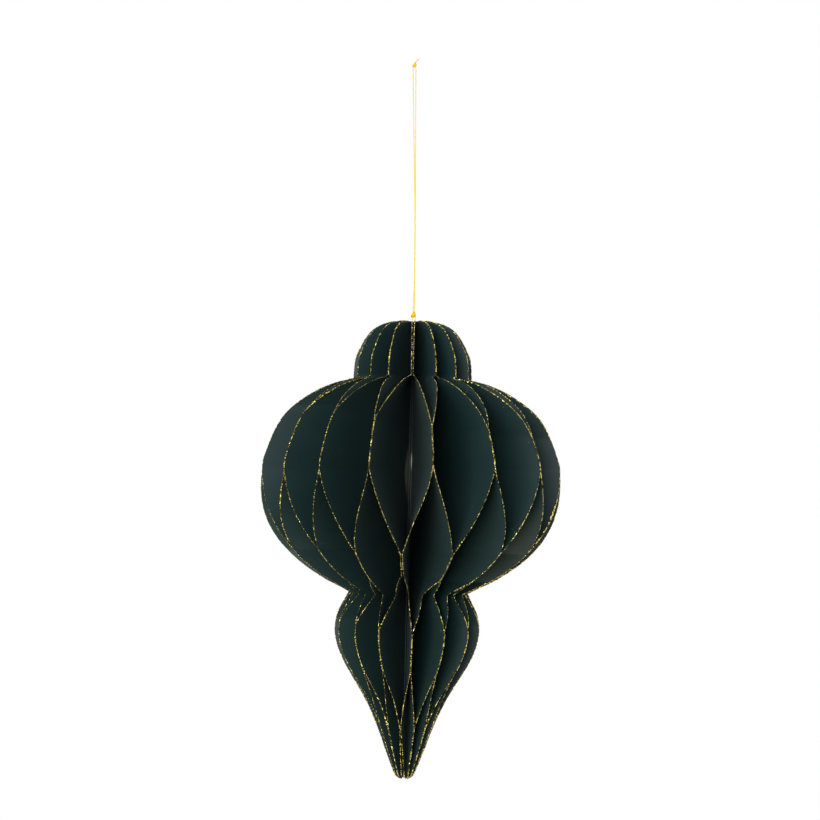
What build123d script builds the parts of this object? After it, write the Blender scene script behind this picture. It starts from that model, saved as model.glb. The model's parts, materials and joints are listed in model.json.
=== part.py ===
"""Paper honeycomb ball ornament: 32 pleated paper leaves round a rolled spine strip, on a thread loop.

Units are millimetres, +Z is up and the origin is where the thread loop hangs. Each leaf is a half
silhouette of the ornament. It turns left and right about its straight inner edge, so that it meets
one neighbour at the A glue rows and the other at the B glue rows, which opens the honeycomb cells.
"""

from dataclasses import dataclass
from math import cos, pi, radians, sin
import os

from build123d import *

# Overall sizes
HEIGHT = 304.0  # top of the cap to the tip
DIAMETER = 200.0  # at the middle of the bulb
DROP = 170.0  # from the top of the thread loop to the top of the cap

# Leaves
LEAF_COUNT = 32
PAPER = 0.30
GLUE_GAP = 0.15  # between two leaves where they are glued
PITCH = 360 / LEAF_COUNT  # degrees from leaf to leaf
BEND = PITCH / 2  # degrees that a leaf turns to reach its neighbour
SEAM_ANGLE = -95.0  # degrees from +X, where the two end leaves meet

# The inner edges stand in a circle that stays open at the seam
EDGE_STEP = PAPER + GLUE_GAP
SEAM_OPENING = 2.5
SPINE_RADIUS = ((LEAF_COUNT - 1) * EDGE_STEP + SEAM_OPENING) / (2 * pi)

# Glue rows, as shares of the height from the top: where each starts and ends
A_ROWS = [(0.0, 0.125), (0.500, 0.556), (0.885, 1.0)]
B_ROWS = [(0.207, 0.3125), (0.678, 0.757)]

# Silhouette, as shares of the radius and of the height
CAP_RADIUS = 0.393
CAP_END = 0.130
EQUATOR = 0.352
NECK_RADIUS = 0.395
NECK = 0.5945
FINIAL_RADIUS = 0.480
FINIAL_WIDEST = 0.681

# Magnets that hold the end leaves together
MAGNET_RADIUS = 3.0
MAGNET_THICKNESS = 0.45
MAGNET_GAP = 0.10
MAGNET_PLACES = {"upper": (0.33, 0.066), "lower": (0.70, 0.528)}  # share of radius, of height
TIP_MEETING = (0.190, 0.885)  # where the end leaves come closest on the last glue row

# Spine strip and thread
STRIP_THICKNESS = 0.25
STRIP_GLUE = 0.12  # between the strip and the leaves' inner edges
STRIP_SLIT = 2.2
STRIP_END = 0.955  # share of the height
THREAD_RADIUS = 0.30
STRAND_SPREAD = 0.95  # half the distance between the two strands at the cap
LOOP_RADIUS = 0.75  # of the turn at the top of the loop
KNOT_RADIUS = 1.7
KNOT_RISE = 4.2  # middle of the top knot above the cap


def height(share: float) -> float:
    """The level at this share of the height below the top of the cap."""
    return -DROP - share * HEIGHT


def width(share: float) -> float:
    """This share of the largest radius."""
    return share * DIAMETER / 2


@dataclass(frozen=True)
class Bends:
    """How far a leaf turns at each glue row, in degrees, from the top of the ornament down."""

    a: tuple[float, float, float]
    b: tuple[float, float]

    def stations(self) -> list[tuple[float, float]]:
        """(share of the height, degrees) at both ends of each row, in order."""
        rows = list(zip(A_ROWS, self.a)) + list(zip(B_ROWS, self.b))
        return sorted((share, bend) for row, bend in rows for share in row)


def silhouette() -> Face:
    """Half of the ornament's outline in the XZ plane, from the inner edges to the outline."""
    inner = SPINE_RADIUS - 0.5
    top, tip = (inner, height(0)), (inner, height(1))
    point = (width(0.073), height(0.984))
    neck_1 = (width(CAP_RADIUS), height(CAP_END))
    widest = (width(1), height(EQUATOR))
    neck_2 = (width(NECK_RADIUS), height(NECK))
    cap = Spline(
        top,
        (width(0.133), height(0.002)),
        (width(0.273), height(0.020)),
        (width(0.360), height(0.064)),
        neck_1,
        tangents=[(1, 0), (0.02, -1)],
    )
    shoulder = Spline(
        neck_1,
        (width(0.547), height(0.1425)),
        (width(0.703), height(0.169)),
        (width(0.877), height(0.2215)),
        (width(0.980), height(0.298)),
        widest,
        tangents=[(1, -0.12), (0, -1)],
    )
    belly = Spline(
        widest,
        (width(0.950), height(0.438)),
        (width(0.800), height(0.510)),
        (width(0.552), height(0.5685)),
        neck_2,
        tangents=[(0, -1), (-1, -0.52)],
    )
    finial = Spline(
        neck_2,
        (width(0.457), height(0.634)),
        (width(FINIAL_RADIUS), height(FINIAL_WIDEST)),
        (width(0.410), height(0.750)),
        (width(0.250), height(0.840)),
        (width(0.153), height(0.915)),
        point,
        tangents=[(0.45, -1), (-0.40, -1)],
    )
    end = Spline(point, tip, tangents=[(-0.40, -1), (-1, -0.10)])
    curves = [cap, shoulder, belly, finial, end, Line(tip, top)]
    return make_face(Plane.XZ * Wire([curve.edge() for curve in curves]))


def leaf(bends: Bends) -> Solid:
    """One leaf along +X, bent about its inner edge by this much at each row."""
    reach = DIAMETER / 2 + 10
    sections = [
        Pos(SPINE_RADIUS, 0, height(share)) * Rot(0, 0, bend) * Pos(reach / 2, 0, 0) * Rectangle(reach, PAPER)
        for share, bend in bends.stations()
    ]
    sheet = loft(sections, ruled=True)
    outline = extrude(silhouette(), DIAMETER / 4, both=True)
    return (sheet & outline).solid()


def edge_place(number: float) -> Location:
    """Where this leaf's inner edge stands in the open circle, seen from the ornament's middle."""
    step = EDGE_STEP / SPINE_RADIUS * 180 / pi
    return Rot(0, 0, SEAM_ANGLE + 180 + (number - (LEAF_COUNT + 1) / 2) * step) * Pos(SPINE_RADIUS, 0, 0)


def turned(shape: Solid, number: int) -> Solid:
    """The shape moved to this leaf's inner edge and turned the way the leaf points."""
    edge = edge_place(number).position
    return Pos(edge.X, edge.Y, 0) * Rot(0, 0, SEAM_ANGLE + (number - 0.5) * PITCH) * Pos(-SPINE_RADIUS, 0, 0) * shape


def closing_bend(place: tuple[float, float], half_gap: float) -> float:
    """Degrees past the seam's own direction that bring an end leaf this close to it at a place."""
    from_seam = radians(180 - (LEAF_COUNT - 1) / 2 * EDGE_STEP / SPINE_RADIUS * 180 / pi)
    across, along = SPINE_RADIUS * sin(from_seam), SPINE_RADIUS * cos(from_seam)
    return (across - half_gap) / (width(place[0]) - along) * 180 / pi


def magnet(place: tuple[float, float], bend: float) -> Solid:
    """A disc magnet on the leaf along +X, on the face it turns to the seam, towards -Y."""
    reach = width(place[0]) - SPINE_RADIUS
    on_leaf = Pos(SPINE_RADIUS, 0, height(place[1])) * Rot(0, 0, bend) * Pos(reach, -PAPER / 2, 0)
    disc = Cylinder(MAGNET_RADIUS, MAGNET_THICKNESS, align=(Align.CENTER, Align.CENTER, Align.MIN))
    return (on_leaf * Rot(90, 0, 0) * disc).solid()


def spine_strip() -> Solid:
    """The strip that the inner edges are glued to, rolled up with a slit at the seam."""
    outer = SPINE_RADIUS - STRIP_GLUE
    length = height(0.004) - height(STRIP_END)
    tube = Cylinder(outer, length) - Cylinder(outer - STRIP_THICKNESS, length)
    tube -= Pos(outer, 0, 0) * Box(2 * outer, STRIP_SLIT, length)
    middle = (height(0.004) + height(STRIP_END)) / 2
    return (Rot(0, 0, SEAM_ANGLE) * Pos(0, 0, middle) * tube).solid()


def knot(radius: float, squash: float = 1.25) -> Solid:
    """A tight knot: three turns of thread pulled into one lump."""
    lump = Sphere(radius)
    for tilt in (-28, 0, 28):
        lump += Rot(tilt, tilt / 2, 0) * Torus(radius - THREAD_RADIUS / 2, THREAD_RADIUS * squash)
    return lump.solid()


def hanging_thread() -> Solid:
    """The free loop: up from the top knot, round where it hangs, and down to the knot again."""
    foot, shoulder, turn = height(0) + KNOT_RISE, height(0) + 60, LOOP_RADIUS
    points = [
        (-STRAND_SPREAD, 0, foot),
        (-turn, 0, shoulder),
        (-turn, 0, 0),
        (turn, 0, 0),
        (turn, 0, shoulder),
        (STRAND_SPREAD, 0, foot),
    ]
    path = FilletPolyline(*points, radius=[40, turn * 0.98, turn * 0.98, 40])
    section = Plane(path @ 0, z_dir=path % 0) * Circle(THREAD_RADIUS)
    return sweep(section, path).solid()


def inner_strand(side: int) -> Solid:
    """A strand inside the spine strip, from the top knot down to the stop knot."""
    top, bottom = height(0) + KNOT_RISE, height(STRIP_END) - 2.0
    strand = Cylinder(THREAD_RADIUS, top - bottom)
    return (Pos(side * STRAND_SPREAD, 0, (top + bottom) / 2) * strand).solid()


def thread_end(side: int) -> Solid:
    """A short loose end above the loop knot."""
    path = Spline(
        (side * 0.5, 0, 2.4),
        (side * 1.5, 0, 4.6),
        (side * 3.2, 0, 6.2),
        tangents=[(side * 0.2, 0, 1), (side * 1, 0, 0.5)],
    )
    section = Plane(path @ 0, z_dir=path % 0) * Circle(THREAD_RADIUS)
    return sweep(section, path).solid()


def parts() -> dict[str, Solid]:
    """Every piece of the ornament, by node name."""
    regular = Bends(a=(BEND,) * 3, b=(-BEND,) * 2)
    magnets = MAGNET_THICKNESS + (PAPER + MAGNET_GAP) / 2
    upper, lower = (-BEND - closing_bend(place, magnets) for place in MAGNET_PLACES.values())
    end = Bends(a=(upper, lower, -BEND - closing_bend(TIP_MEETING, EDGE_STEP / 2)), b=(BEND, BEND))
    even = leaf(regular)
    odd = mirror(even, Plane.XZ)
    first = leaf(end)
    made = {}
    for number in range(1, LEAF_COUNT + 1):
        shape = even if number % 2 == 0 else odd
        if number == 1:
            shape = first
        elif number == LEAF_COUNT:
            shape = mirror(first, Plane.XZ)
        made[f"leaf_{number:02d}"] = turned(shape, number)
    for (level, place), bend in zip(MAGNET_PLACES.items(), (upper, lower)):
        disc = magnet(place, bend)
        made[f"magnet_{level}_first"] = turned(disc, 1)
        made[f"magnet_{level}_last"] = turned(mirror(disc, Plane.XZ), LEAF_COUNT)
    made["spine_strip"] = spine_strip()
    made["hanging_thread"] = hanging_thread()
    made["strand_left"] = inner_strand(-1)
    made["strand_right"] = inner_strand(1)
    made["top_knot"] = Pos(0, 0, height(0) + KNOT_RISE) * knot(KNOT_RADIUS)
    made["stop_knot"] = Pos(0, 0, height(STRIP_END) - 2.2) * knot(KNOT_RADIUS)
    made["loop_knot"] = Pos(0, 0, 1.6) * knot(1.1)
    made["loop_end_left"] = thread_end(-1)
    made["loop_end_right"] = thread_end(1)
    return made


os.makedirs("parts", exist_ok=True)
for name, shape in parts().items():
    export_step(shape, f"parts/{name}.step")
print(f"spine radius {SPINE_RADIUS:.3f} mm, {len(os.listdir('parts'))} files")
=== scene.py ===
"""The paper honeycomb ball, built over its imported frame.

Every leaf is one sheet of dark green paper that turns left and right about its inner edge, with gold
glitter stuck along its cut edge. Sheets and glitter flatten as their leaf folds. Lengths are in metres
where nothing else is said.
"""

from __future__ import annotations

import json
import logging
import math
import random
from collections.abc import Iterator
from dataclasses import dataclass
from enum import Enum

import bmesh
import bpy
import numpy as np
from mathutils import Matrix, Vector, noise
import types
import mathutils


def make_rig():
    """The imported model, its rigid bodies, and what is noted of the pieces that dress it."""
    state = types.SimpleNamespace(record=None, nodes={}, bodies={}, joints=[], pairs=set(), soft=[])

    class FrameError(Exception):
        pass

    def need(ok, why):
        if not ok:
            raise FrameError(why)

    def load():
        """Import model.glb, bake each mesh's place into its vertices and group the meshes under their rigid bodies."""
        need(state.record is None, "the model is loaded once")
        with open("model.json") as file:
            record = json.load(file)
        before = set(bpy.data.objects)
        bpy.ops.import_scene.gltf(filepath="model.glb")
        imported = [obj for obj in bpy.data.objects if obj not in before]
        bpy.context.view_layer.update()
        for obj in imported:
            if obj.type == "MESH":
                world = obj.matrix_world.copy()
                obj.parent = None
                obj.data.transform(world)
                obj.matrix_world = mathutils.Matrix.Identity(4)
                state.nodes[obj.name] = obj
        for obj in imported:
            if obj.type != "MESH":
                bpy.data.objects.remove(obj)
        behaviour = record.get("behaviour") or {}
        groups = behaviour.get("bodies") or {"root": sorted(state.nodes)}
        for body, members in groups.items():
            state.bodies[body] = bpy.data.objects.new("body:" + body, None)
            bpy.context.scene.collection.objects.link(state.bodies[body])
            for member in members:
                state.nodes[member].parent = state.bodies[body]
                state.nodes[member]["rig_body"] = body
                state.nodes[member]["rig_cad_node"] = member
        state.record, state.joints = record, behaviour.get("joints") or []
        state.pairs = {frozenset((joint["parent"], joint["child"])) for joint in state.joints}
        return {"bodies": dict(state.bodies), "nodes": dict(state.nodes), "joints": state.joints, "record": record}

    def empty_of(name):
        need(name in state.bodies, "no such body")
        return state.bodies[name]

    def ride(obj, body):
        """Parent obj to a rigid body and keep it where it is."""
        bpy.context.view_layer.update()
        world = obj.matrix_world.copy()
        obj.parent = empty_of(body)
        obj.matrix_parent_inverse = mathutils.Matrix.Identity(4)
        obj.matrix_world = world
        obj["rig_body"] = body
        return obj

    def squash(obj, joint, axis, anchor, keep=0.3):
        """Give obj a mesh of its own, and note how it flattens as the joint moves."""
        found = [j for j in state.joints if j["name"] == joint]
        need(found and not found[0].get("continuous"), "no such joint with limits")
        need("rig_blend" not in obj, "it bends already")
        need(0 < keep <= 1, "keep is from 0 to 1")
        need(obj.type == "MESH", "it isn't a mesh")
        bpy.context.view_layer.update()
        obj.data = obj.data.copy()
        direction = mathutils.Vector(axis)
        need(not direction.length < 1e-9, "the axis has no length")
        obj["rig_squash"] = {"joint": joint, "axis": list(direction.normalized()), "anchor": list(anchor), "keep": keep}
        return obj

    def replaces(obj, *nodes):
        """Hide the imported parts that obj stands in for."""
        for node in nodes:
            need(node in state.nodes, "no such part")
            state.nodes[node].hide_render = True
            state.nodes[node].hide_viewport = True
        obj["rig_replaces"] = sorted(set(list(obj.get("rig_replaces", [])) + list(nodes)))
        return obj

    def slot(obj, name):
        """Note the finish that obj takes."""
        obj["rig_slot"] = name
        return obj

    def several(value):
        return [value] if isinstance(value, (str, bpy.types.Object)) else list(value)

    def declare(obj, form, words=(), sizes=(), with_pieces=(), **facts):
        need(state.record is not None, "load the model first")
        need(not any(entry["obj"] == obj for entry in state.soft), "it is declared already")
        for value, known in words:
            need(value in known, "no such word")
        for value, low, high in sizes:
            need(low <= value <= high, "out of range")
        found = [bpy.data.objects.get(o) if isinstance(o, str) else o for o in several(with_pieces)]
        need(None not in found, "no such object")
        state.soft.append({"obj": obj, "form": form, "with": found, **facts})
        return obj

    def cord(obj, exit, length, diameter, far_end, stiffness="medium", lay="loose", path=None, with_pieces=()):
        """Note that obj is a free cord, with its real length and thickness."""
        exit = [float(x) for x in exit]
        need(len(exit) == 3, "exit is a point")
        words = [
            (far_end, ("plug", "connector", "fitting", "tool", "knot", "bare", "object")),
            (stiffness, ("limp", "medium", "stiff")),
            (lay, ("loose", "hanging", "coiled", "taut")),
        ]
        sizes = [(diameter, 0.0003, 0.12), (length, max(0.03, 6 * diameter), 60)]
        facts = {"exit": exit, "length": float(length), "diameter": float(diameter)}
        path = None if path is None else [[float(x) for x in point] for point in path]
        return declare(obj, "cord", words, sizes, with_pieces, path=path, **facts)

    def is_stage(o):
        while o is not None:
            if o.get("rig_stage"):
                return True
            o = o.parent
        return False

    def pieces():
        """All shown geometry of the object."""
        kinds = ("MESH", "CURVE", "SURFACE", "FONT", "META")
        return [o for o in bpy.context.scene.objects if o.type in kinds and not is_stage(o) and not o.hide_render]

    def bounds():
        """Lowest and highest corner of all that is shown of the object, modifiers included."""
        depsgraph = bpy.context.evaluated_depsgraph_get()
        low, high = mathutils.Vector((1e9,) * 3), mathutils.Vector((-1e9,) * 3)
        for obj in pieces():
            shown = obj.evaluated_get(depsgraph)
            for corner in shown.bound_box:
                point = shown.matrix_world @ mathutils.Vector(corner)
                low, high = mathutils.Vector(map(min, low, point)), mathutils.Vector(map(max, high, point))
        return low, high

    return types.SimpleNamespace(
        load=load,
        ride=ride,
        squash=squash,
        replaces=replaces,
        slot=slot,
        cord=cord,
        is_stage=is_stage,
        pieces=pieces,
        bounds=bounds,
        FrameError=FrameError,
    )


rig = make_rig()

log = logging.getLogger("honeycomb")

LEAVES = 32
PITCH = 2 * math.pi / LEAVES
SEAM = math.radians(-95)
TOP = -0.170
HEIGHT_MM = 304
HEIGHT = HEIGHT_MM / 1000
BULB_RADIUS = 0.1
PAPER = 0.0003
EDGE_STEP = 0.00045
SEAM_OPENING = 0.0025
SPINE_RADIUS = ((LEAVES - 1) * EDGE_STEP + SEAM_OPENING) / math.tau
THREAD = 0.0003
CUT_EDGE_LENGTH = 0.43
LEAF_SQUASH = 0.02


class Glue(Enum):
    """The two ways a leaf is glued: at A rows one way round, at B rows the other."""

    A = "A"
    B = "B"


@dataclass(frozen=True)
class GlueRow:
    """A level band where leaves meet in pairs.

    Attributes:
        glue: which way round the leaves are glued.
        start: where it starts, as a share of the height from the top.
        end: where it ends.
        closing: how far each end leaf leans across the seam to meet the other, in radians.
    """

    glue: Glue
    start: float
    end: float
    closing: float = 0.0


ROWS = (
    GlueRow(Glue.A, 0.0, 0.125, math.radians(1.05)),
    GlueRow(Glue.B, 0.207, 0.3125),
    GlueRow(Glue.A, 0.500, 0.556, math.radians(0.48)),
    GlueRow(Glue.B, 0.678, 0.757),
    GlueRow(Glue.A, 0.885, 1.0, math.radians(3.2)),
)


@dataclass(frozen=True)
class Meeting:
    """Where two neighbouring leaves touch at one row: the band's ends and the direction they share."""

    start: float
    end: float
    azimuth: float


@dataclass(frozen=True)
class Unevenness:
    """How far the maker was off along one row: at the left, in the middle and at the right of the front.

    Attributes:
        turn: degrees that the meetings are off round the spine.
        start: millimetres that their upper ends are off.
        end: millimetres that their lower ends are off.
    """

    turn: tuple[float, float, float]
    start: tuple[float, float, float] = (0, 0, 0)
    end: tuple[float, float, float] = (0, 0, 0)

    def at(self, front: float) -> tuple[float, float, float]:
        """The turn, start and end for a meeting that many degrees right of the front."""
        given = (self.turn, self.start, self.end)
        turn, start, end = (float(np.interp(front, FRONT_PLACES, values)) for values in given)
        return turn, start, end


def ease(value: float) -> float:
    """A smooth step from 0 to 1."""
    value = min(max(value, 0.0), 1.0)
    return value * value * (3 - 2 * value)


def towards(azimuth: float) -> Vector:
    """The level unit vector in this direction."""
    return Vector((math.cos(azimuth), math.sin(azimuth), 0))


def right_of_front(azimuth: float) -> float:
    """How many degrees right of the front this direction is, from -180 to 180."""
    return (math.degrees(azimuth) + 90 + 180) % 360 - 180


# How each row in ROWS is off at three places across the front, which are in degrees right of its middle
FRONT_PLACES = (-60, 0, 60)
UNEVENNESS = (
    Unevenness(turn=(7, 4, 6)),
    Unevenness(turn=(8, 1, 5), start=(-5, 9, 14), end=(6, 3, 3)),
    Unevenness(turn=(8, 1, 6), end=(5, 0, 4)),
    Unevenness(turn=(-8, -4, 5), start=(-8, -1, -4), end=(-4, 0, 4)),
    Unevenness(turn=(-8, -6, 8)),
)
FRONT_REACH = 88  # degrees either side of the front's middle up to which a row's unevenness holds

# Each meeting is also off by chance
USUAL_TURN = 2.4  # degrees
USUAL_END = 2.6  # millimetres
FRONT_SHARE = 0.25  # how much of the chance slip is left in front, on top of the row's unevenness
LARGEST_TURN = 8.0  # degrees, both together


class Honeycomb:
    """All the meetings between leaves, each with a small slip of its own."""

    # How quickly a sheet leaves each row for the next: under 1 it turns at once, over 1 it waits
    LEAVING = (0.42, 1.2, 0.85, 1.3)

    def __init__(self, seed: int = 7) -> None:
        """Lays the meetings out.

        Args:
            seed: for the chance slips.
        """
        self.chance = random.Random(seed)
        self.meetings: dict[tuple[int, int], Meeting] = {}
        for row_number, row in enumerate(ROWS):
            for first in self.pairs(row.glue):
                self.meetings[first, row_number] = self.meeting(first, row_number, row)

    @staticmethod
    def pairs(glue: Glue) -> range:
        """The first leaf of each pair glued this way. Leaf 32 pairs with leaf 1 at the seam."""
        return range(2, LEAVES + 1, 2) if glue is Glue.A else range(1, LEAVES, 2)

    def meeting(self, first: int, row_number: int, row: GlueRow) -> Meeting:
        """One meeting, with its slip."""
        turn, start, end = (self.chance.gauss(0, s) for s in (USUAL_TURN, USUAL_END, USUAL_END))
        front = right_of_front(SEAM + first * PITCH)
        if abs(front) < FRONT_REACH:
            own = UNEVENNESS[row_number].at(front)
            turn, start, end = (row_is + FRONT_SHARE * by for row_is, by in zip(own, (turn, start, end)))
        turn = min(max(turn, -LARGEST_TURN), LARGEST_TURN)
        low = 0.0 if row.start <= 0 else row.start + start / HEIGHT_MM
        high = 1.0 if row.end >= 1 else row.end + end / HEIGHT_MM
        middle = SEAM + first * PITCH + math.radians(turn)
        return Meeting(low, high, middle)

    def stations(self, leaf: int) -> list[tuple[float, float]]:
        """(share of the height, direction) at both ends of each of a leaf's meetings, from the top down."""
        found = []
        for row_number, row in enumerate(ROWS):
            with_next = (leaf % 2 == 0) == (row.glue is Glue.A)
            first = leaf if with_next else leaf - 1
            meeting = self.meetings[first or LEAVES, row_number]
            shift = 0.0
            if first in (0, LEAVES):
                shift = row.closing * (1 if first else -1) - (0 if first else math.tau)
            found += [(meeting.start, meeting.azimuth + shift), (meeting.end, meeting.azimuth + shift)]
        return found

    def course(self, leaf: int, steps: int = 24) -> tuple[list[float], list[float]]:
        """A leaf's direction all the way down.

        Args:
            leaf: its number.
            steps: how many points to give between one row and the next.

        Returns:
            The shares of the height and the direction at each.
        """
        ends = self.stations(leaf)
        shares, turns = [ends[0][0]], [ends[0][1]]
        for n, ((high, before), (low, after)) in enumerate(zip(ends, ends[1:])):
            between_rows = n % 2 == 1
            for step in range(1, steps + 1) if between_rows else (1,):
                t = step / steps if between_rows else 1.0
                shares.append(high + (low - high) * t)
                turns.append(before + (after - before) * (t ** self.LEAVING[n // 2] if between_rows else 1.0))
        return shares, turns


@dataclass
class Outline:
    """The cut edge of a leaf: its distance from the spine's middle at each share of the height."""

    shares: np.ndarray
    radii: np.ndarray

    @classmethod
    def of(cls, node: bpy.types.Object, levels: int = 2400) -> Outline:
        """Reads the outline off a CAD leaf.

        Args:
            node: the CAD leaf.
            levels: how many heights to measure at.

        Returns:
            The outline.
        """
        mesh = node.data
        points = np.array([v.co for v in mesh.vertices])
        ends = np.array([e.vertices[:] for e in mesh.edges])
        a, b = points[ends[:, 0]], points[ends[:, 1]]
        shares = np.linspace(0.0004, 0.9996, levels)
        radii = []
        for share in shares:
            level = TOP - share * HEIGHT
            across = (a[:, 2] - level) * (b[:, 2] - level) < 0
            t = ((level - a[across, 2]) / (b[across, 2] - a[across, 2]))[:, None]
            hit = a[across] + t * (b[across] - a[across])
            radii.append(np.hypot(hit[:, 0], hit[:, 1]).max())
        return cls(shares, np.array(radii))

    def evenly(self, count: int) -> np.ndarray:
        """This many shares of the height, spaced evenly along the cut edge."""
        steps = np.hypot(np.diff(self.shares) * HEIGHT, np.diff(self.radii))
        along = np.concatenate([[0], np.cumsum(steps)])
        return np.interp(np.linspace(0, along[-1], count), along, self.shares)

    def radius(self, share: float) -> float:
        """The distance from the spine's middle at this share of the height."""
        return float(np.interp(share, self.shares, self.radii))


def new_object(name: str, mesh: bpy.types.Mesh, body: str) -> bpy.types.Object:
    """A new piece that moves with a CAD body.

    Args:
        name: its name.
        mesh: its mesh, already in place.
        body: the CAD body.

    Returns:
        The piece.
    """
    made = bpy.data.objects.new(name, mesh)
    bpy.context.scene.collection.objects.link(made)
    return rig.ride(made, body)


def mesh_from(bm: bmesh.types.BMesh, name: str, sharp: float = 50) -> bpy.types.Mesh:
    """Turns a bmesh into a smooth mesh with sharp edges past this angle, and frees it."""
    for face in bm.faces:
        face.smooth = True
    mesh = bpy.data.meshes.new(name)
    bm.to_mesh(mesh)
    bm.free()
    mesh.set_sharp_from_angle(angle=math.radians(sharp))
    return mesh


@dataclass
class Leaf:
    """One sheet of paper with its glitter.

    Attributes:
        number: 1 to 32, counted from the seam.
        honeycomb: where it meets its neighbours.
        outline: its cut edge.
        rows: how many heights the sheet is divided at.
        columns: how many strips the sheet is divided into.
        waviness: how far the free paper stands out of true.
    """

    number: int
    honeycomb: Honeycomb
    outline: Outline
    rows: int = 250
    columns: int = 12
    waviness: float = 0.0009

    def __post_init__(self) -> None:
        """Works out where the leaf stands and how it turns."""
        self.name = f"leaf_{self.number:02d}"
        self.body = f"{self.name}_body"
        self.middle = SEAM + (self.number - 0.5) * PITCH
        self.across = towards(self.middle + math.pi / 2)
        spread = (self.number - (LEAVES + 1) / 2) * EDGE_STEP / SPINE_RADIUS
        self.edge = towards(SEAM + math.pi + spread) * SPINE_RADIUS
        self.shares, self.turns = self.honeycomb.course(self.number)
        others = ((self.number - 1 + step) % LEAVES + 1 for step in (-1, 1))
        self.neighbours = [self.honeycomb.course(other) for other in others]
        self.chance = random.Random(100 + self.number)

    def direction(self, share: float) -> float:
        """Which way the sheet points at this share of the height."""
        return float(np.interp(share, self.shares, self.turns))

    def reach(self, share: float) -> float:
        """How far the sheet goes from its inner edge."""
        return max(self.outline.radius(share) - SPINE_RADIUS, 0.0004)

    def room(self, share: float, distance: float) -> tuple[float, float]:
        """The clear distance to the previous and to the next leaf's sheet, this far from the spine."""
        here, found = self.direction(share), []
        for shares, turns in self.neighbours:
            gap = abs((float(np.interp(share, shares, turns)) - here + math.pi) % math.tau - math.pi)
            found.append(gap * distance + EDGE_STEP * 0.93)
        return found[0], found[1]

    def point(self, share: float, along: float) -> Vector:
        """A point of the sheet's middle surface.

        Args:
            share: of the height, from the top.
            along: 0 at the inner edge and 1 at the cut edge.

        Returns:
            The point.
        """
        azimuth = self.direction(share)
        flat = self.edge + towards(azimuth) * self.reach(share) * along
        flat.z = TOP - share * HEIGHT
        free = min(ease((min(self.room(share, self.reach(share) * along)) - EDGE_STEP) / 0.006), 1.0)
        wave = noise.noise(Vector((self.number * 7.3, share * 9.0, along * 1.7)))
        return flat + towards(azimuth + math.pi / 2) * wave * self.waviness * free * along

    def sheet(self) -> bpy.types.Object:
        """The paper."""
        levels = self.outline.evenly(self.rows + 1)
        bm = bmesh.new()
        bmesh.ops.create_grid(bm, x_segments=self.columns, y_segments=self.rows, size=0.5)
        for vert in bm.verts:
            level = levels[round((0.5 - vert.co.y) * self.rows)]
            vert.co = self.point(level, vert.co.x + 0.5)
        bm.normal_update()
        for vert in bm.verts:
            vert.co -= vert.normal * PAPER / 2
        bmesh.ops.solidify(bm, geom=bm.faces[:], thickness=-PAPER)
        bmesh.ops.recalc_face_normals(bm, faces=bm.faces[:])
        sheet_uv = bm.loops.layers.uv.new("sheet")
        for face in bm.faces:
            for loop in face.loops:
                loop[sheet_uv].uv = (math.hypot(*loop.vert.co.xy) * 3, loop.vert.co.z * 3)
        return new_object(self.name, mesh_from(bm, self.name), self.body)

    def folded(self, piece: bpy.types.Object) -> bpy.types.Object:
        """Makes a piece of this leaf flatten as the leaf folds."""
        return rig.squash(piece, f"fold_{self.name}", self.across, self.edge, keep=LEAF_SQUASH)


@dataclass(frozen=True)
class Heap:
    """A stretch of one leaf's edge with thick glitter.

    Attributes:
        leaf: the leaf's number.
        middle: its middle, as a share of the height.
        size: half its length, likewise.
    """

    leaf: int
    middle: float
    size: float


HEAPS = (
    Heap(27, 0.36, 0.12),
    Heap(28, 0.20, 0.05),
    Heap(7, 0.49, 0.09),
    Heap(8, 0.50, 0.10),
    Heap(9, 0.42, 0.10),
    Heap(5, 0.88, 0.03),
    Heap(30, 0.88, 0.05),
)
HEAP_FADE = 0.03  # the share of the height over which a heap thins out


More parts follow.
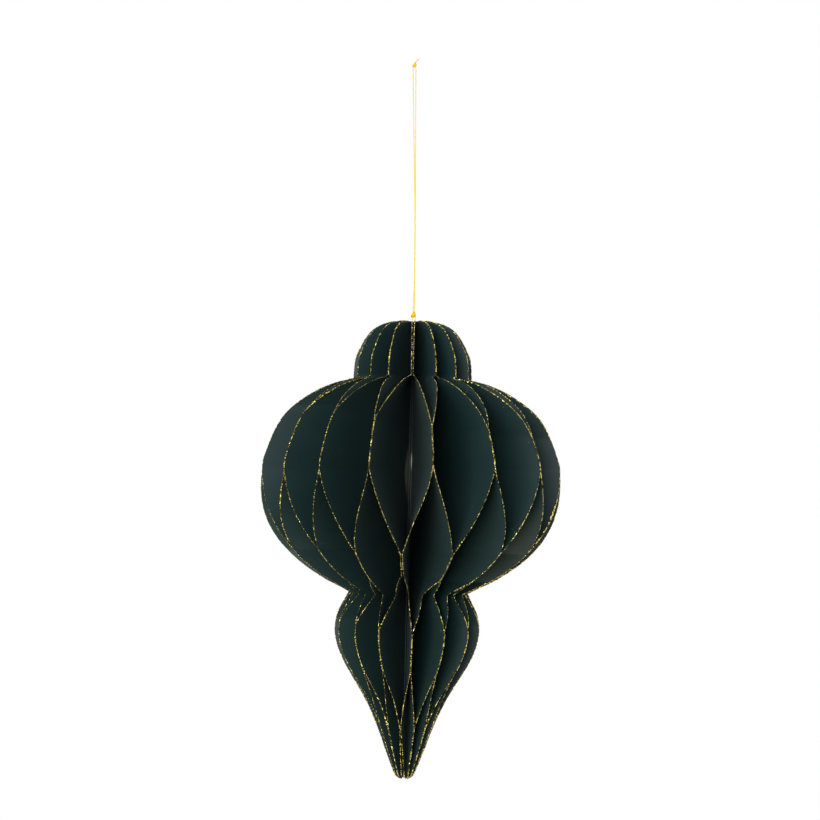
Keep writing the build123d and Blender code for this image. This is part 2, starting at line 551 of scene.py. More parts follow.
@dataclass
class Glitter:
    """The gold glitter along one leaf's cut edge, with stray flakes on the paper.

    Attributes:
        leaf: the leaf it is stuck to.
        step: how far apart the bead's rings are.
        sides: how many points each ring has.
        flakes_per_metre: flakes along the edge.
        strays: flakes on the faces of the sheet.
        width: half the bead's width.
        proud: how far the bead stands out from the cut edge.
        inward: how far it comes in over the faces.
    """

    leaf: Leaf
    step: float = 0.0008
    sides: int = 7
    flakes_per_metre: int = 3600
    strays: int = 46
    width: float = 0.00022
    proud: float = 0.00020
    inward: float = 0.00048

    def rings(self) -> Iterator[tuple[Vector, Vector, Vector, tuple[float, float], float]]:
        """Along the edge: (centre, outward, towards the next leaf, half widths either way, share)."""
        leaf = self.leaf
        levels = leaf.outline.evenly(int(CUT_EDGE_LENGTH / self.step))
        points = [leaf.point(level, 1.0) for level in levels]
        for n, (level, centre) in enumerate(zip(levels, points)):
            along = points[min(n + 1, len(points) - 1)] - points[max(n - 1, 0)]
            side = towards(leaf.direction(level) + math.pi / 2)
            outward = side.cross(along.normalized())
            outward = (outward - side * outward.dot(side)).normalized()
            if outward.dot(towards(leaf.direction(level))) < -0.2:
                outward = -outward
            room = leaf.room(level, leaf.reach(level))
            full = self.width * self.heap(level)
            widths = tuple(min(full, space * 0.47) for space in room)
            yield centre, outward, side, widths, level

    def thickness(self, level: float, salt: float) -> float:
        """How thick the glitter lies here, from nearly bare to a full bead."""
        spot = Vector((self.leaf.number * 3.1 + salt, level * 95, salt))
        fine = noise.noise(Vector((self.leaf.number * 5.3, level * 330, salt)))
        coarse = noise.noise(Vector((self.leaf.number * 1.7, level * 16, 4.0)))
        size = 0.50 + 0.9 * noise.noise(spot) + 0.5 * coarse + 0.8 * fine
        return min(max(size, 0.05), 1.25) * self.heap(level)

    def heap(self, level: float) -> float:
        """How much more glitter there is where it was laid on thick."""
        heaps = [heap for heap in HEAPS if heap.leaf == self.leaf.number]
        here = [ease((heap.size + HEAP_FADE - abs(level - heap.middle)) / HEAP_FADE) for heap in heaps]
        return 1 + 0.9 * max(here, default=0.0)

    def bead(self, bm: bmesh.types.BMesh) -> None:
        """The uneven bead of glue and glitter on the edge."""
        previous = None
        for centre, outward, side, (back, front), level in self.rings():
            ring = []
            for k in range(self.sides):
                angle = math.tau * k / self.sides
                size = self.thickness(level, k * 1.9)
                width = (front if math.sin(angle) > 0 else back) * min(0.55 + 0.45 * size, 1)
                depth = (self.proud if math.cos(angle) > 0 else self.inward) * size
                offset = outward * math.cos(angle) * depth + side * math.sin(angle) * width
                ring.append(bm.verts.new(centre + offset))
            if previous:
                for k in range(self.sides):
                    after = (k + 1) % self.sides
                    bm.faces.new((previous[k], previous[after], ring[after], ring[k]))
            else:
                bm.faces.new(ring[::-1])
            previous = ring
        bm.faces.new(previous)

    def flake(self, bm: bmesh.types.BMesh, at: Vector, normal: Vector, size: float, tumble: float) -> None:
        """One flake: a thin three-sided chip, tipped at random."""
        chance = self.leaf.chance
        tipped = (normal + Vector([chance.gauss(0, tumble) for _ in range(3)])).normalized()
        across = tipped.orthogonal().normalized()
        across.rotate(Matrix.Rotation(chance.uniform(0, math.tau), 3, tipped))
        other = tipped.cross(across)
        corners = []
        for k in range(3):
            angle = math.tau * k / 3 + chance.uniform(-0.4, 0.4)
            corners.append(bm.verts.new(at + (across * math.cos(angle) + other * math.sin(angle)) * size))
        top = bm.verts.new(at + tipped * 0.00005)
        bm.faces.new(corners[::-1])
        for k in range(3):
            bm.faces.new((corners[k], corners[(k + 1) % 3], top))

    def flakes(self, bm: bmesh.types.BMesh) -> None:
        """Flakes along the bead."""
        chance, rings = self.leaf.chance, list(self.rings())
        for _ in range(int(CUT_EDGE_LENGTH * self.flakes_per_metre)):
            centre, outward, side, (back, front), level = chance.choice(rings)
            if chance.random() > self.thickness(level, 0.0) + 0.12:
                continue
            angle = chance.gauss(0, 1.0)
            width = front if math.sin(angle) > 0 else back
            depth = 0.00022 if math.cos(angle) > 0 else self.inward
            normal = outward * math.cos(angle) + side * math.sin(angle)
            at = centre + outward * math.cos(angle) * depth + side * math.sin(angle) * width * 0.9
            at += Vector([chance.uniform(-1, 1) for _ in range(3)]) * 0.0001
            self.flake(bm, at, normal, min(chance.uniform(0.00013, 0.00036), width * 1.2), 0.5)

    def stray_flakes(self, bm: bmesh.types.BMesh) -> None:
        """A few flakes that fell on the faces, mostly near the edge."""
        chance, leaf = self.leaf.chance, self.leaf
        for _ in range(self.strays):
            level = float(leaf.outline.evenly(400)[chance.randrange(4, 396)])
            along = 1 - min(abs(chance.gauss(0, 0.10)) + 0.012, 0.8)
            facing = chance.choice((-1, 1))
            side = towards(leaf.direction(level) + math.pi / 2) * facing
            room = leaf.room(level, leaf.reach(level) * along)[facing > 0]
            if room > 0.0012:
                at = leaf.point(level, along) + side * (PAPER / 2 + 0.00004)
                self.flake(bm, at, side, chance.uniform(0.00012, 0.00024), 0.2)

    def build(self) -> bpy.types.Object:
        """The bead and its flakes as one piece."""
        bm = bmesh.new()
        self.bead(bm)
        self.flakes(bm)
        self.stray_flakes(bm)
        name = f"{self.leaf.name}_glitter"
        mesh = bpy.data.meshes.new(name)
        bmesh.ops.recalc_face_normals(bm, faces=bm.faces[:])
        bm.to_mesh(mesh)
        bm.free()
        return new_object(name, mesh, self.leaf.body)


class Nodes:
    """A short way to lay out a shader."""

    def __init__(self, tree: bpy.types.NodeTree) -> None:
        """Starts from an empty tree."""
        self.tree = tree
        tree.nodes.clear()

    def add(self, kind: str, **settings: object) -> bpy.types.Node:
        """A node with some of its settings or inputs set.

        Args:
            kind: the node's type, without "ShaderNode".
            **settings: a setting's name, or an input's name with _ for each space.

        Returns:
            The node.
        """
        node = self.tree.nodes.new(kind if kind.startswith("NodeGroup") else f"ShaderNode{kind}")
        for name, value in settings.items():
            if hasattr(node, name):
                setattr(node, name, value)
            else:
                node.inputs[name.replace("_", " ")].default_value = value
        return node

    def link(self, source: bpy.types.NodeSocket, target: bpy.types.NodeSocket) -> None:
        """Joins two sockets."""
        self.tree.links.new(source, target)


def new_material(name: str) -> tuple[bpy.types.Material, Nodes, bpy.types.Node]:
    """A material with a Principled shader to fill in. Returns it, its nodes and the shader."""
    material = bpy.data.materials.new(name)
    material.use_nodes = True
    nodes = Nodes(material.node_tree)
    shader, out = nodes.add("BsdfPrincipled"), nodes.add("OutputMaterial")
    nodes.link(shader.outputs["BSDF"], out.inputs["Surface"])
    return material, nodes, shader


def fibre_group() -> bpy.types.NodeTree:
    """The node group for a paper's surface: a mottled factor and a bumped normal."""
    group = bpy.data.node_groups.new("paper_fibres", "ShaderNodeTree")
    face = group.interface
    scale = face.new_socket("Scale", in_out="INPUT", socket_type="NodeSocketFloat")
    depth = face.new_socket("Depth", in_out="INPUT", socket_type="NodeSocketFloat")
    scale.default_value, depth.default_value = 900.0, 0.1
    face.new_socket("Mottle", in_out="OUTPUT", socket_type="NodeSocketFloat")
    face.new_socket("Normal", in_out="OUTPUT", socket_type="NodeSocketVector")
    nodes = Nodes(group)
    came, out = group.nodes.new("NodeGroupInput"), group.nodes.new("NodeGroupOutput")
    where = nodes.add("TexCoord")
    grain = nodes.add("TexNoise", Detail=5.0, Roughness=0.65)
    clouds = nodes.add("TexNoise", Scale=26.0, Detail=3.0)
    bump = nodes.add("Bump", Distance=0.00012)
    for texture in (grain, clouds):
        nodes.link(where.outputs["Object"], texture.inputs["Vector"])
    nodes.link(came.outputs["Scale"], grain.inputs["Scale"])
    nodes.link(came.outputs["Depth"], bump.inputs["Strength"])
    nodes.link(grain.outputs["Fac"], bump.inputs["Height"])
    nodes.link(clouds.outputs["Fac"], out.inputs["Mottle"])
    nodes.link(bump.outputs["Normal"], out.inputs["Normal"])
    return group


@dataclass(frozen=True)
class PaperFinish:
    """Dyed matte paper."""

    name: str
    dark: tuple[float, float, float]
    light: tuple[float, float, float]
    roughness: float = 0.52
    shine: float = 0.36
    sheen: float = 0.0
    grain: float = 900.0
    depth: float = 0.12

    def material(self) -> bpy.types.Material:
        """Builds the material."""
        material, nodes, shader = new_material(self.name)
        tree = bpy.data.node_groups.get("paper_fibres") or fibre_group()
        fibres = nodes.add("Group", node_tree=tree)
        fibres.inputs["Scale"].default_value = self.grain
        fibres.inputs["Depth"].default_value = self.depth
        ramp = nodes.add("ValToRGB")
        ramp.color_ramp.elements[0].position, ramp.color_ramp.elements[1].position = 0.3, 0.7
        ramp.color_ramp.elements[0].color = (*self.dark, 1)
        ramp.color_ramp.elements[1].color = (*self.light, 1)
        nodes.link(fibres.outputs["Mottle"], ramp.inputs["Fac"])
        nodes.link(ramp.outputs["Color"], shader.inputs["Base Color"])
        nodes.link(fibres.outputs["Normal"], shader.inputs["Normal"])
        shader.inputs["Roughness"].default_value = self.roughness
        shader.inputs["Specular IOR Level"].default_value = self.shine
        shader.inputs["Sheen Weight"].default_value = self.sheen
        shader.inputs["Sheen Roughness"].default_value = 0.45
        return material


@dataclass(frozen=True)
class StripFinish:
    """Card that is dyed like the leaves, with a painted highlight in a pale colour where the mesh's "bare" attribute
    says.

    Attributes:
        name: the material's name.
        dyed: the dye's colour.
        bare: the pale colour of the painted highlight.
    """

    name: str
    dyed: tuple[float, float, float]
    bare: tuple[float, float, float]

    def material(self) -> bpy.types.Material:
        """Builds the material."""
        material, nodes, shader = new_material(self.name)
        # the "bare" attribute is how strong the painted highlight is: glare painted in a pale colour onto the dark card
        glare_amount = nodes.add("Attribute", attribute_name="bare")
        ramp = nodes.add("ValToRGB")
        ramp.color_ramp.elements[0].color = (*self.dyed, 1)
        ramp.color_ramp.elements[1].color = (*self.bare, 1)
        nodes.link(glare_amount.outputs["Fac"], ramp.inputs["Fac"])
        nodes.link(ramp.outputs["Color"], shader.inputs["Base Color"])
        shader.inputs["Roughness"].default_value = 0.8
        return material


@dataclass(frozen=True)
class GlitterFinish:
    """Gold flakes: each cell of the surface faces its own way."""

    name: str
    bright: tuple[float, float, float] = (0.95, 0.79, 0.24)
    dull: tuple[float, float, float] = (0.055, 0.045, 0.014)
    cell: float = 1150.0
    tilt: float = 1.7

    def material(self) -> bpy.types.Material:
        """Builds the material."""
        material, nodes, shader = new_material(self.name)
        where = nodes.add("TexCoord")
        cells = nodes.add("TexVoronoi", Scale=self.cell)
        nodes.link(where.outputs["Object"], cells.inputs["Vector"])
        centred = nodes.add("VectorMath", operation="SUBTRACT")
        centred.inputs[1].default_value = (0.5, 0.5, 0.5)
        tipped = nodes.add("VectorMath", operation="SCALE")
        tipped.inputs["Scale"].default_value = self.tilt
        surface = nodes.add("NewGeometry")
        added = nodes.add("VectorMath", operation="ADD")
        level = nodes.add("VectorMath", operation="NORMALIZE")
        nodes.link(cells.outputs["Color"], centred.inputs[0])
        nodes.link(centred.outputs[0], tipped.inputs[0])
        nodes.link(tipped.outputs[0], added.inputs[0])
        nodes.link(surface.outputs["Normal"], added.inputs[1])
        nodes.link(added.outputs[0], level.inputs[0])
        nodes.link(level.outputs[0], shader.inputs["Normal"])
        split = nodes.add("SeparateColor")
        ramp = nodes.add("ValToRGB")
        ramp.color_ramp.elements[0].position, ramp.color_ramp.elements[1].position = 0.48, 0.60
        ramp.color_ramp.elements[0].color = (*self.dull, 1)
        ramp.color_ramp.elements[1].color = (*self.bright, 1)
        nodes.link(cells.outputs["Color"], split.inputs["Color"])
        nodes.link(split.outputs["Red"], ramp.inputs["Fac"])
        nodes.link(ramp.outputs["Color"], shader.inputs["Base Color"])
        shader.inputs["Metallic"].default_value = 1.0
        shader.inputs["Roughness"].default_value = 0.32
        return material


@dataclass(frozen=True)
class MetalFinish:
    """A plain metal, metallised or coated finish, a little uneven in its gloss."""

    name: str
    colour: tuple[float, float, float]
    roughness: float
    metallic: float = 1.0

    def material(self) -> bpy.types.Material:
        """Builds the material."""
        material, nodes, shader = new_material(self.name)
        where = nodes.add("TexCoord")
        wear = nodes.add("TexNoise", Scale=1400.0, Detail=2.0)
        spread = nodes.add("MapRange", To_Min=self.roughness * 0.8, To_Max=self.roughness * 1.2)
        nodes.link(where.outputs["Object"], wear.inputs["Vector"])
        nodes.link(wear.outputs["Fac"], spread.inputs["Value"])
        nodes.link(spread.outputs["Result"], shader.inputs["Roughness"])
        shader.inputs["Base Color"].default_value = (*self.colour, 1)
        shader.inputs["Metallic"].default_value = self.metallic
        return material


LEAF_PAPER = PaperFinish("leaf_paper", (0.0075, 0.0250, 0.0260), (0.0110, 0.0320, 0.0325), sheen=0.02)
# bare is the pale colour of the painted highlight (glare) on the strip and on the last leaf
SPINE_PAPER = StripFinish("spine_paper", dyed=(0.008, 0.022, 0.023), bare=(0.80, 0.78, 0.62))
GOLD_GLITTER = GlitterFinish("gold_glitter")
GOLD_THREAD = MetalFinish("gold_thread", (0.93, 0.54, 0.010), 0.45, metallic=0.40)
COATED = MetalFinish("coated_magnet", (0.018, 0.024, 0.024), 0.5, metallic=0.0)


def dressed(piece: bpy.types.Object, material: bpy.types.Material, slot: str) -> bpy.types.Object:
    """Gives a piece its material and names the record's slot for it."""
    piece.data.materials.clear()
    piece.data.materials.append(material)
    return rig.slot(piece, slot)


def tube(
    bm: bmesh.types.BMesh,
    path: list[Vector],
    radius: float,
    sides: int = 10,
    closed: bool = False,
) -> None:
    """A round thread along a path.

    Args:
        bm: where to add it.
        path: the points of its centreline.
        radius: its radius.
        sides: how many points each ring has.
        closed: whether the end meets the start.
    """
    count, rings = len(path), []
    before = path[-1] if closed else path[0]
    across = (path[1] - before).orthogonal().normalized()
    for n, point in enumerate(path):
        after = path[(n + 1) % count] if closed or n + 1 < count else point
        behind = path[n - 1] if closed or n else point
        along = (after - behind).normalized()
        across = (across - along * across.dot(along)).normalized()
        other = along.cross(across)
        turns = (math.tau * k / sides for k in range(sides))
        spokes = [across * math.cos(turn) + other * math.sin(turn) for turn in turns]
        rings.append([bm.verts.new(point + spoke * radius) for spoke in spokes])
    for n in range(count if closed else count - 1):
        this, following = rings[n], rings[(n + 1) % count]
        for k in range(sides):
            after = (k + 1) % sides
            bm.faces.new((this[k], this[after], following[after], following[k]))
    if not closed:
        bm.faces.new(rings[0][::-1])
        bm.faces.new(rings[-1])


@dataclass(frozen=True)
class Knot:
    """A tight knot of the thread.

    Attributes:
        node: the CAD node it stands for.
        at: its middle.
        size: half its width.
        tall: its height over its width.
        tilt: how far it leans, in radians.
    """

    node: str
    at: tuple[float, float, float]
    size: float
    tall: float = 1.25
    tilt: float = 0.0

    def build(self) -> bpy.types.Object:
        """An overhand knot pulled tight, with a second turn over it."""
        bm = bmesh.new()
        reach = self.size - THREAD
        for lap, turned in ((1.0, 0.0), (0.82, 1.1)):
            path = []
            for n in range(72):
                t = math.tau * n / 72
                swing = (2 + math.cos(3 * t)) / 3 * reach * lap
                right, up = swing * math.cos(2 * t + turned), swing * math.sin(2 * t + turned)
                path.append(Vector((right, math.sin(3 * t) * reach * 0.62, up * self.tall)))
            tube(bm, path, THREAD * 1.05, closed=True)
        core = bmesh.ops.create_icosphere(bm, subdivisions=3, radius=reach * 0.72)
        bmesh.ops.scale(bm, verts=core["verts"], vec=(1, 1, self.tall))
        leaned = Matrix.Translation(self.at) @ Matrix.Rotation(self.tilt, 4, "Y")
        bmesh.ops.transform(bm, verts=bm.verts, matrix=leaned)
        made = new_object(f"{self.node}_wound", mesh_from(bm, self.node), "spine")
        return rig.replaces(made, self.node)


TOP_KNOT = Knot("top_knot", (-0.0002, 0, -0.1656), 0.0015, tall=1.65, tilt=math.radians(28))
LOOP_KNOT = Knot("loop_knot", (-0.0030, 0, 0.0020), 0.0013, tall=1.5, tilt=math.radians(35))
STOP_KNOT = Knot("stop_knot", (0, 0, -0.46252), 0.0019)


@dataclass(frozen=True)
class HangingThread:
    """The thread loop from the top knot to where the ornament hangs.

    Its strands lie one behind the other above the top knot and part towards the loop's top, which leans
    a little.

    Attributes:
        points: the cord's route, up one strand and down the other.
    """

    points: tuple[tuple[float, float, float], ...] = (
        (-0.00050, 0, -0.1658),
        (-0.00045, 0, -0.1560),
        (-0.00015, 0.0003, -0.1490),
        (-0.00030, 0.0003, -0.1080),
        (-0.00190, 0.0001, -0.0600),
        (-0.00395, 0, -0.0012),
        (-0.00395, 0, 0.0002),
        (-0.00300, 0, 0.0010),
        (-0.00205, 0, 0.0002),
        (-0.00205, 0, -0.0012),
        (-0.00105, -0.0001, -0.0600),
        (-0.00020, -0.0003, -0.1080),
        (0.00005, -0.0003, -0.1490),
        (0.00045, 0, -0.1560),
        (0.00050, 0, -0.1658),
    )

    def build(self, knots: list[bpy.types.Object]) -> bpy.types.Object:
        """The loop as a cord.

        Args:
            knots: the pieces on it.

        Returns:
            The cord.
        """
        points = self.points
        curve = bpy.data.curves.new("hanging_thread", "CURVE")
        curve.dimensions = "3D"
        spline = curve.splines.new("NURBS")
        spline.points.add(len(points) - 1)
        for point, where in zip(spline.points, points):
            point.co, point.radius = (*where, 1), THREAD
        spline.order_u = 3
        spline.use_endpoint_u = True
        spline.resolution_u = 40
        curve.bevel_depth = 1.0
        curve.bevel_resolution = 3
        curve.use_fill_caps = True
        made = bpy.data.objects.new("hanging_thread_gold", curve)
        bpy.context.scene.collection.objects.link(made)
        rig.ride(made, "spine")
        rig.replaces(made, "hanging_thread")
        length = sum(math.dist(a, b) for a, b in zip(points, points[1:]))
        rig.cord(
            made,
            exit=points[0],
            length=length,
            diameter=2 * THREAD,
            far_end="object",
            stiffness="limp",
            lay="hanging",
            with_pieces=knots,
        )
        return made


@dataclass(frozen=True)
class Magnet:
    """A disc magnet between the end leaves.

    Attributes:
        level: "upper" or "lower".
        radius_share: how far out it sits, as a share of the bulb's radius.
        share: how far down it sits, as a share of the height.
        radius: of the disc.
        thickness: of the disc.
    """

    level: str
    radius_share: float
    share: float
    radius: float = 0.003
    thickness: float = 0.00045

    def build(self, leaf: Leaf) -> bpy.types.Object:
        """The magnet on one end leaf's face, on the side of the seam."""
        first = leaf.number == 1
        azimuth = leaf.direction(self.share)
        side = towards(azimuth + math.pi / 2) * (-1 if first else 1)
        middle = leaf.edge + towards(azimuth) * (self.radius_share * BULB_RADIUS - SPINE_RADIUS)
        middle += side * (PAPER + self.thickness) / 2
        middle.z = TOP - self.share * HEIGHT
        bm = bmesh.new()
        bmesh.ops.create_cone(
            bm, cap_ends=True, segments=48, radius1=self.radius, radius2=self.radius, depth=self.thickness
        )
        rims = [edge for edge in bm.edges if abs(edge.calc_face_angle(0)) > 1]
        bmesh.ops.bevel(bm, geom=rims, offset=0.00008, segments=2, affect="EDGES")
        bmesh.ops.rotate(bm, verts=bm.verts, matrix=Vector((0, 0, 1)).rotation_difference(side).to_matrix())
        bmesh.ops.translate(bm, verts=bm.verts, vec=middle)
        node = f"magnet_{self.level}_{'first' if first else 'last'}"
        made = new_object(f"{node}_disc", mesh_from(bm, node, 35), leaf.body)
        return leaf.folded(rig.replaces(made, node))


MAGNETS = (Magnet("upper", 0.33, 0.066), Magnet("lower", 0.70, 0.528))


@dataclass(frozen=True)
class LooseEnd:
    """A short end of the thread above the loop's knot.

    Attributes:
        side: "left" or "right".
        reach: how far it goes to the right and up from the knot.
        foot: where it leaves the knot, to the right and up.
    """

    side: str
    reach: tuple[float, float]
    foot: tuple[float, float] = (-0.0028, 0.0026)

    def build(self) -> bpy.types.Object:
        """The end as a curved tube."""
        path, steps = [], 14
        for n in range(steps + 1):
            t = n / steps
            right, up = self.foot[0] + self.reach[0] * t**1.6, self.foot[1] + self.reach[1] * t
            path.append(Vector((right, 0.0004 * t, up)))
        bm = bmesh.new()
        tube(bm, path, THREAD)
        node = f"loop_end_{self.side}"
        made = new_object(f"{node}_gold", mesh_from(bm, node), "spine")
        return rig.replaces(made, node)


LOOSE_ENDS = (LooseEnd("left", (0.0006, 0.0016)), LooseEnd("right", (0.0026, 0.0036)))


@dataclass(frozen=True)
class PaintedGlarePatch:
    """A lens-shaped painted highlight on the strip: glare painted in a pale colour, which fades at its rim.

    Attributes:
        middle: where its middle is, as a share of the height.
        half: half its height, likewise.
        azimuth: which way it faces, in degrees right of the front.
        width: half its width round the strip, in degrees.
        strength: how pale it is, up to 1.
    """

    middle: float
    half: float
    azimuth: float
    width: float
    strength: float

    def at(self, share: float, azimuth: float) -> float:
        """How strong the painted highlight is here."""
        off = right_of_front(azimuth - math.radians(self.azimuth))
        inside = ease(1 - abs(share - self.middle) / self.half) * ease(1 - abs(off) / self.width)
        return self.strength * inside


@dataclass(frozen=True)
class SpineStrip:
    """The strip that the inner edges are glued to, rolled round the strands until its edges nearly meet.

    Attributes:
        outer: its outer radius.
        thickness: of the card.
        slit: the gap between its two long edges.
        end: the share of the height that it reaches down to.
        patches: where a highlight is painted on it.
    """

    outer: float = SPINE_RADIUS - 0.00012
    thickness: float = 0.00025
    slit: float = 0.0005
    end: float = 0.955
    patches: tuple[PaintedGlarePatch, ...] = (
        PaintedGlarePatch(0.34, 0.11, -8, 50, 0.10),
        PaintedGlarePatch(0.308, 0.026, 9, 22, 1.0),
    )

    def build(self) -> bpy.types.Object:
        """The roll, a little uneven down its length."""
        bm = bmesh.new()
        # the "bare" layer holds the painted highlight: glare painted in a pale colour
        bare = bm.verts.layers.float.new("bare")
        columns, rows = 72, 180
        opening = self.slit / self.outer / 2
        grid = bmesh.ops.create_grid(bm, x_segments=columns, y_segments=rows, size=0.5)
        for vert in grid["verts"]:
            share = (0.5 - vert.co.y) * self.end
            wander = noise.noise(Vector((0.0, 2.0, share * 14))) * 0.15
            azimuth = SEAM + wander + opening + (vert.co.x + 0.5) * (math.tau - 2 * opening)
            vert[bare] = max(patch.at(share, azimuth) for patch in self.patches)
            vert.co = towards(azimuth) * self.outer
            vert.co.z = TOP - share * HEIGHT
        bm.normal_update()
        outward = bm.faces[:][0].normal.dot(bm.faces[:][0].calc_center_median()) > 0
        bmesh.ops.solidify(bm, geom=bm.faces[:], thickness=self.thickness if outward else -self.thickness)
        bmesh.ops.recalc_face_normals(bm, faces=bm.faces[:])
        made = new_object("spine_strip_roll", mesh_from(bm, "spine_strip_roll"), "spine")
        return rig.replaces(made, "spine_strip")


@dataclass(frozen=True)
class PaintedGlareFlap:
    """A thin sheet on the last leaf's face by the spine that carries a painted highlight: glare painted in a pale
    colour.

    Attributes:
        start: where it starts, as a share of the height.
        end: where it ends.
        reach: how far it comes out along the leaf.
        strength: how pale it is, up to 1.
    """

    start: float = 0.258
    end: float = 0.415
    reach: float = 0.013
    strength: float = 0.42

    def build(self, leaf: Leaf) -> bpy.types.Object:
        """The flap on the leaf's seam side."""
        bm = bmesh.new()
        # "bare" holds the painted highlight: glare painted in a pale colour, strongest mid-way and fading to the
        # sheet's edges
        bare = bm.verts.layers.float.new("bare")
        bmesh.ops.create_grid(bm, x_segments=10, y_segments=40, size=0.5)
        for vert in bm.verts:
            across, down = vert.co.x + 0.5, 0.5 - vert.co.y
            share = self.start + (self.end - self.start) * down
            swell = math.sin(math.pi * down)
            distance = 0.0003 + self.reach * across * swell
            vert[bare] = self.strength * swell * ease(2 - 2 * across) * ease(across * 6)
            side = towards(leaf.direction(share) + math.pi / 2)
            vert.co = leaf.point(share, distance / leaf.reach(share)) + side * (PAPER / 2 + 0.00006)
        bmesh.ops.remove_doubles(bm, verts=bm.verts, dist=0.000005)
        bmesh.ops.recalc_face_normals(bm, faces=bm.faces[:])
        bmesh.ops.solidify(bm, geom=bm.faces[:], thickness=0.00004)
        return leaf.folded(new_object("painted_glare_flap", mesh_from(bm, "painted_glare_flap"), leaf.body))


@dataclass
class Ornament:
    """The whole ornament.

    Attributes:
    """

    frame: dict

    def build(self) -> None:
        """Makes and dresses every piece."""
        gold, card = GOLD_THREAD.material(), SPINE_PAPER.material()
        self.hang(gold)
        self.dress_spine(gold, card)
        self.open_leaves(LEAF_PAPER.material(), GOLD_GLITTER.material(), COATED.material(), card)

    def hang(self, gold: bpy.types.Material) -> None:
        """The thread loop with its knots."""
        top, loop = TOP_KNOT.build(), LOOP_KNOT.build()
        ends = [end.build() for end in LOOSE_ENDS]
        cord = HangingThread().build([top, loop, *ends])
        stop = STOP_KNOT.build()
        for piece in (top, loop, *ends, cord, stop):
            dressed(piece, gold, "gold_thread")

    def dress_spine(self, gold: bpy.types.Material, card: bpy.types.Material) -> None:
        """The strip, and the strands inside it, which are shown as the CAD has them."""
        nodes = self.frame["nodes"]
        dressed(SpineStrip().build(), card, "spine_paper")
        for name in ("strand_left", "strand_right"):
            dressed(nodes[name], gold, "gold_thread")

    def open_leaves(
        self,
        paper: bpy.types.Material,
        glitter: bpy.types.Material,
        coated: bpy.types.Material,
        card: bpy.types.Material,
    ) -> None:
        """The leaves with their glitter, the magnets on the two end leaves, and the flap with the painted highlight on
        the last leaf.
        """
        honeycomb = Honeycomb()
        outline = Outline.of(self.frame["nodes"]["leaf_16"])
        for number in range(1, LEAVES + 1):
            leaf = Leaf(number, honeycomb, outline)
            sheet = leaf.folded(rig.replaces(leaf.sheet(), leaf.name))
            dressed(sheet, paper, "leaf_paper")
            dressed(leaf.folded(Glitter(leaf).build()), glitter, "gold_thread")
            if number in (1, LEAVES):
                for magnet in MAGNETS:
                    dressed(magnet.build(leaf), coated, "magnet")
            if number == LEAVES:
                # the flap carries a painted highlight, glare painted in a pale colour
                dressed(PaintedGlareFlap().build(leaf), card, "spine_paper")


LIT_POINT = Vector((0, 0, -0.32))


@dataclass(frozen=True)
class Softbox:
    """A square area light that points at the ornament.

    Attributes:
        name: the light's name.
        at: where it is.
        side: how long its sides are.
        power: in watts.
        colour: of its light.
    """

    name: str
    at: tuple[float, float, float]
    side: float
    power: float
    colour: tuple[float, float, float] = (1, 1, 1)

    def build(self) -> None:
        """Places the light."""
        lamp = bpy.data.lights.new(self.name, "AREA")
        lamp.shape, lamp.size, lamp.energy, lamp.color = "SQUARE", self.side, self.power, self.colour
        made = bpy.data.objects.new(self.name, lamp)
        made.location = self.at
        made.rotation_euler = (LIT_POINT - Vector(self.at)).to_track_quat("-Z", "Y").to_euler()
        bpy.context.scene.collection.objects.link(made)


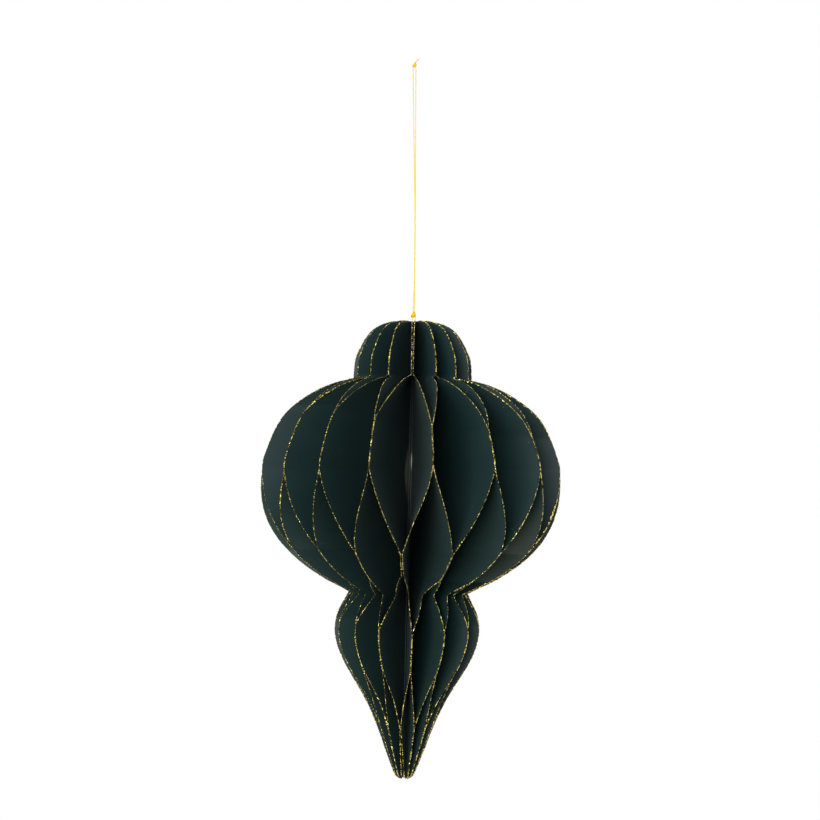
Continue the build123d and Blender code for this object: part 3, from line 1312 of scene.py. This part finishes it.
@dataclass(frozen=True)
class Studio:
    """The camera and the light.

    Attributes:
        distance: from the camera to the spine.
        field: how wide the camera's view is at the spine.
        level: the camera's height.
        roll: how far the ornament hangs off plumb, in radians.
        pitch: how far the camera is tipped up, in radians.
        lens_shift: how far the lens is shifted up, as a share of the view's width.
        ambient: the strength of the white light all round.
        reflected: the strength of the white that glossy surfaces mirror.
        lights: the softboxes.
    """

    distance: float = 1.4
    field: float = 0.5467
    level: float = -0.286
    roll: float = math.radians(-1.2)
    pitch: float = math.radians(1.23)
    lens_shift: float = 0.049
    ambient: float = 0.24
    reflected: float = 0.85
    lights: tuple[Softbox, ...] = (
        Softbox("key", (-0.68, -1.89, 0.10), 1.4, 34.0, (0.96, 1.0, 1.0)),
        Softbox("side", (-1.5, -0.7, 0.0), 0.9, 5.0, (1.0, 0.86, 0.68)),
        Softbox("top", (0.2, -0.5, 1.1), 0.9, 2.0),
        Softbox("back", (1.5, 1.5, 0.1), 1.2, 9.0),
        Softbox("warm_bounce", (-0.75, -1.2, -1.1), 0.5, 6.0, (1.0, 0.84, 0.50)),
    )

    def camera(self) -> None:
        """A long lens level with the bulb, tipped and shifted up so that the thread is in view."""
        data = bpy.data.cameras.new("camera")
        data.sensor_width = 36
        data.lens = 36 * self.distance / self.field
        data.shift_y = self.lens_shift
        made = bpy.data.objects.new("camera", data)
        turned = Matrix.Rotation(self.roll, 4, "Y") @ Matrix.Rotation(math.pi / 2 + self.pitch, 4, "X")
        made.matrix_world = Matrix.Translation((0, -self.distance, self.level)) @ turned
        bpy.context.scene.collection.objects.link(made)
        bpy.context.scene.camera = made

    def world(self) -> None:
        """White behind the ornament and in its reflections, and a softer white light all round it."""
        world = bpy.data.worlds.new("studio")
        world.use_nodes = True
        bpy.context.scene.world = world
        nodes = Nodes(world.node_tree)
        seen = nodes.add("Background", Strength=1.0, Color=(1, 1, 1, 1))
        around = nodes.add("Background", Strength=self.ambient, Color=(1, 1, 1, 1))
        mirrored = nodes.add("Background", Strength=self.reflected, Color=(1, 1, 1, 1))
        path, out = nodes.add("LightPath"), nodes.add("OutputWorld")
        inner, outer = nodes.add("MixShader"), nodes.add("MixShader")
        nodes.link(path.outputs["Is Glossy Ray"], inner.inputs["Fac"])
        nodes.link(around.outputs[0], inner.inputs[1])
        nodes.link(mirrored.outputs[0], inner.inputs[2])
        nodes.link(path.outputs["Is Camera Ray"], outer.inputs["Fac"])
        nodes.link(inner.outputs[0], outer.inputs[1])
        nodes.link(seen.outputs[0], outer.inputs[2])
        nodes.link(outer.outputs[0], out.inputs["Surface"])

    def build(self) -> None:
        """Sets up the shot."""
        self.camera()
        self.world()
        for light in self.lights:
            light.build()
        scene = bpy.context.scene
        scene.view_settings.view_transform = "Standard"
        scene.cycles.max_bounces = 8


def plain(box: tuple[Vector, Vector]) -> list[list[float]]:
    """A box's lowest and highest corner as plain numbers."""
    return [[round(value, 6) for value in corner] for corner in box]


def note_size(cad_box: list[list[float]]) -> None:
    """Writes the box of the CAD model and that of the finished ornament."""
    sizes = {"cad": cad_box, "visual": plain(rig.bounds())}
    with open("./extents.json", "w") as out:
        json.dump(sizes, out)
    log.info("boxes %s", sizes)


def main() -> None:
    """Builds the scene."""
    logging.basicConfig(level=logging.INFO, format="%(name)s: %(message)s")
    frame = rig.load()
    cad_box = plain(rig.bounds())
    Studio().build()
    Ornament(frame).build()
    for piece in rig.pieces():
        log.info("piece %s", piece.name)
    meshes = [piece.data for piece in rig.pieces() if piece.type == "MESH"]
    log.info("about %d triangles", sum(len(mesh.loop_triangles) or len(mesh.polygons) * 2 for mesh in meshes))
    note_size(cad_box)


if __name__ == "__main__":
    main()
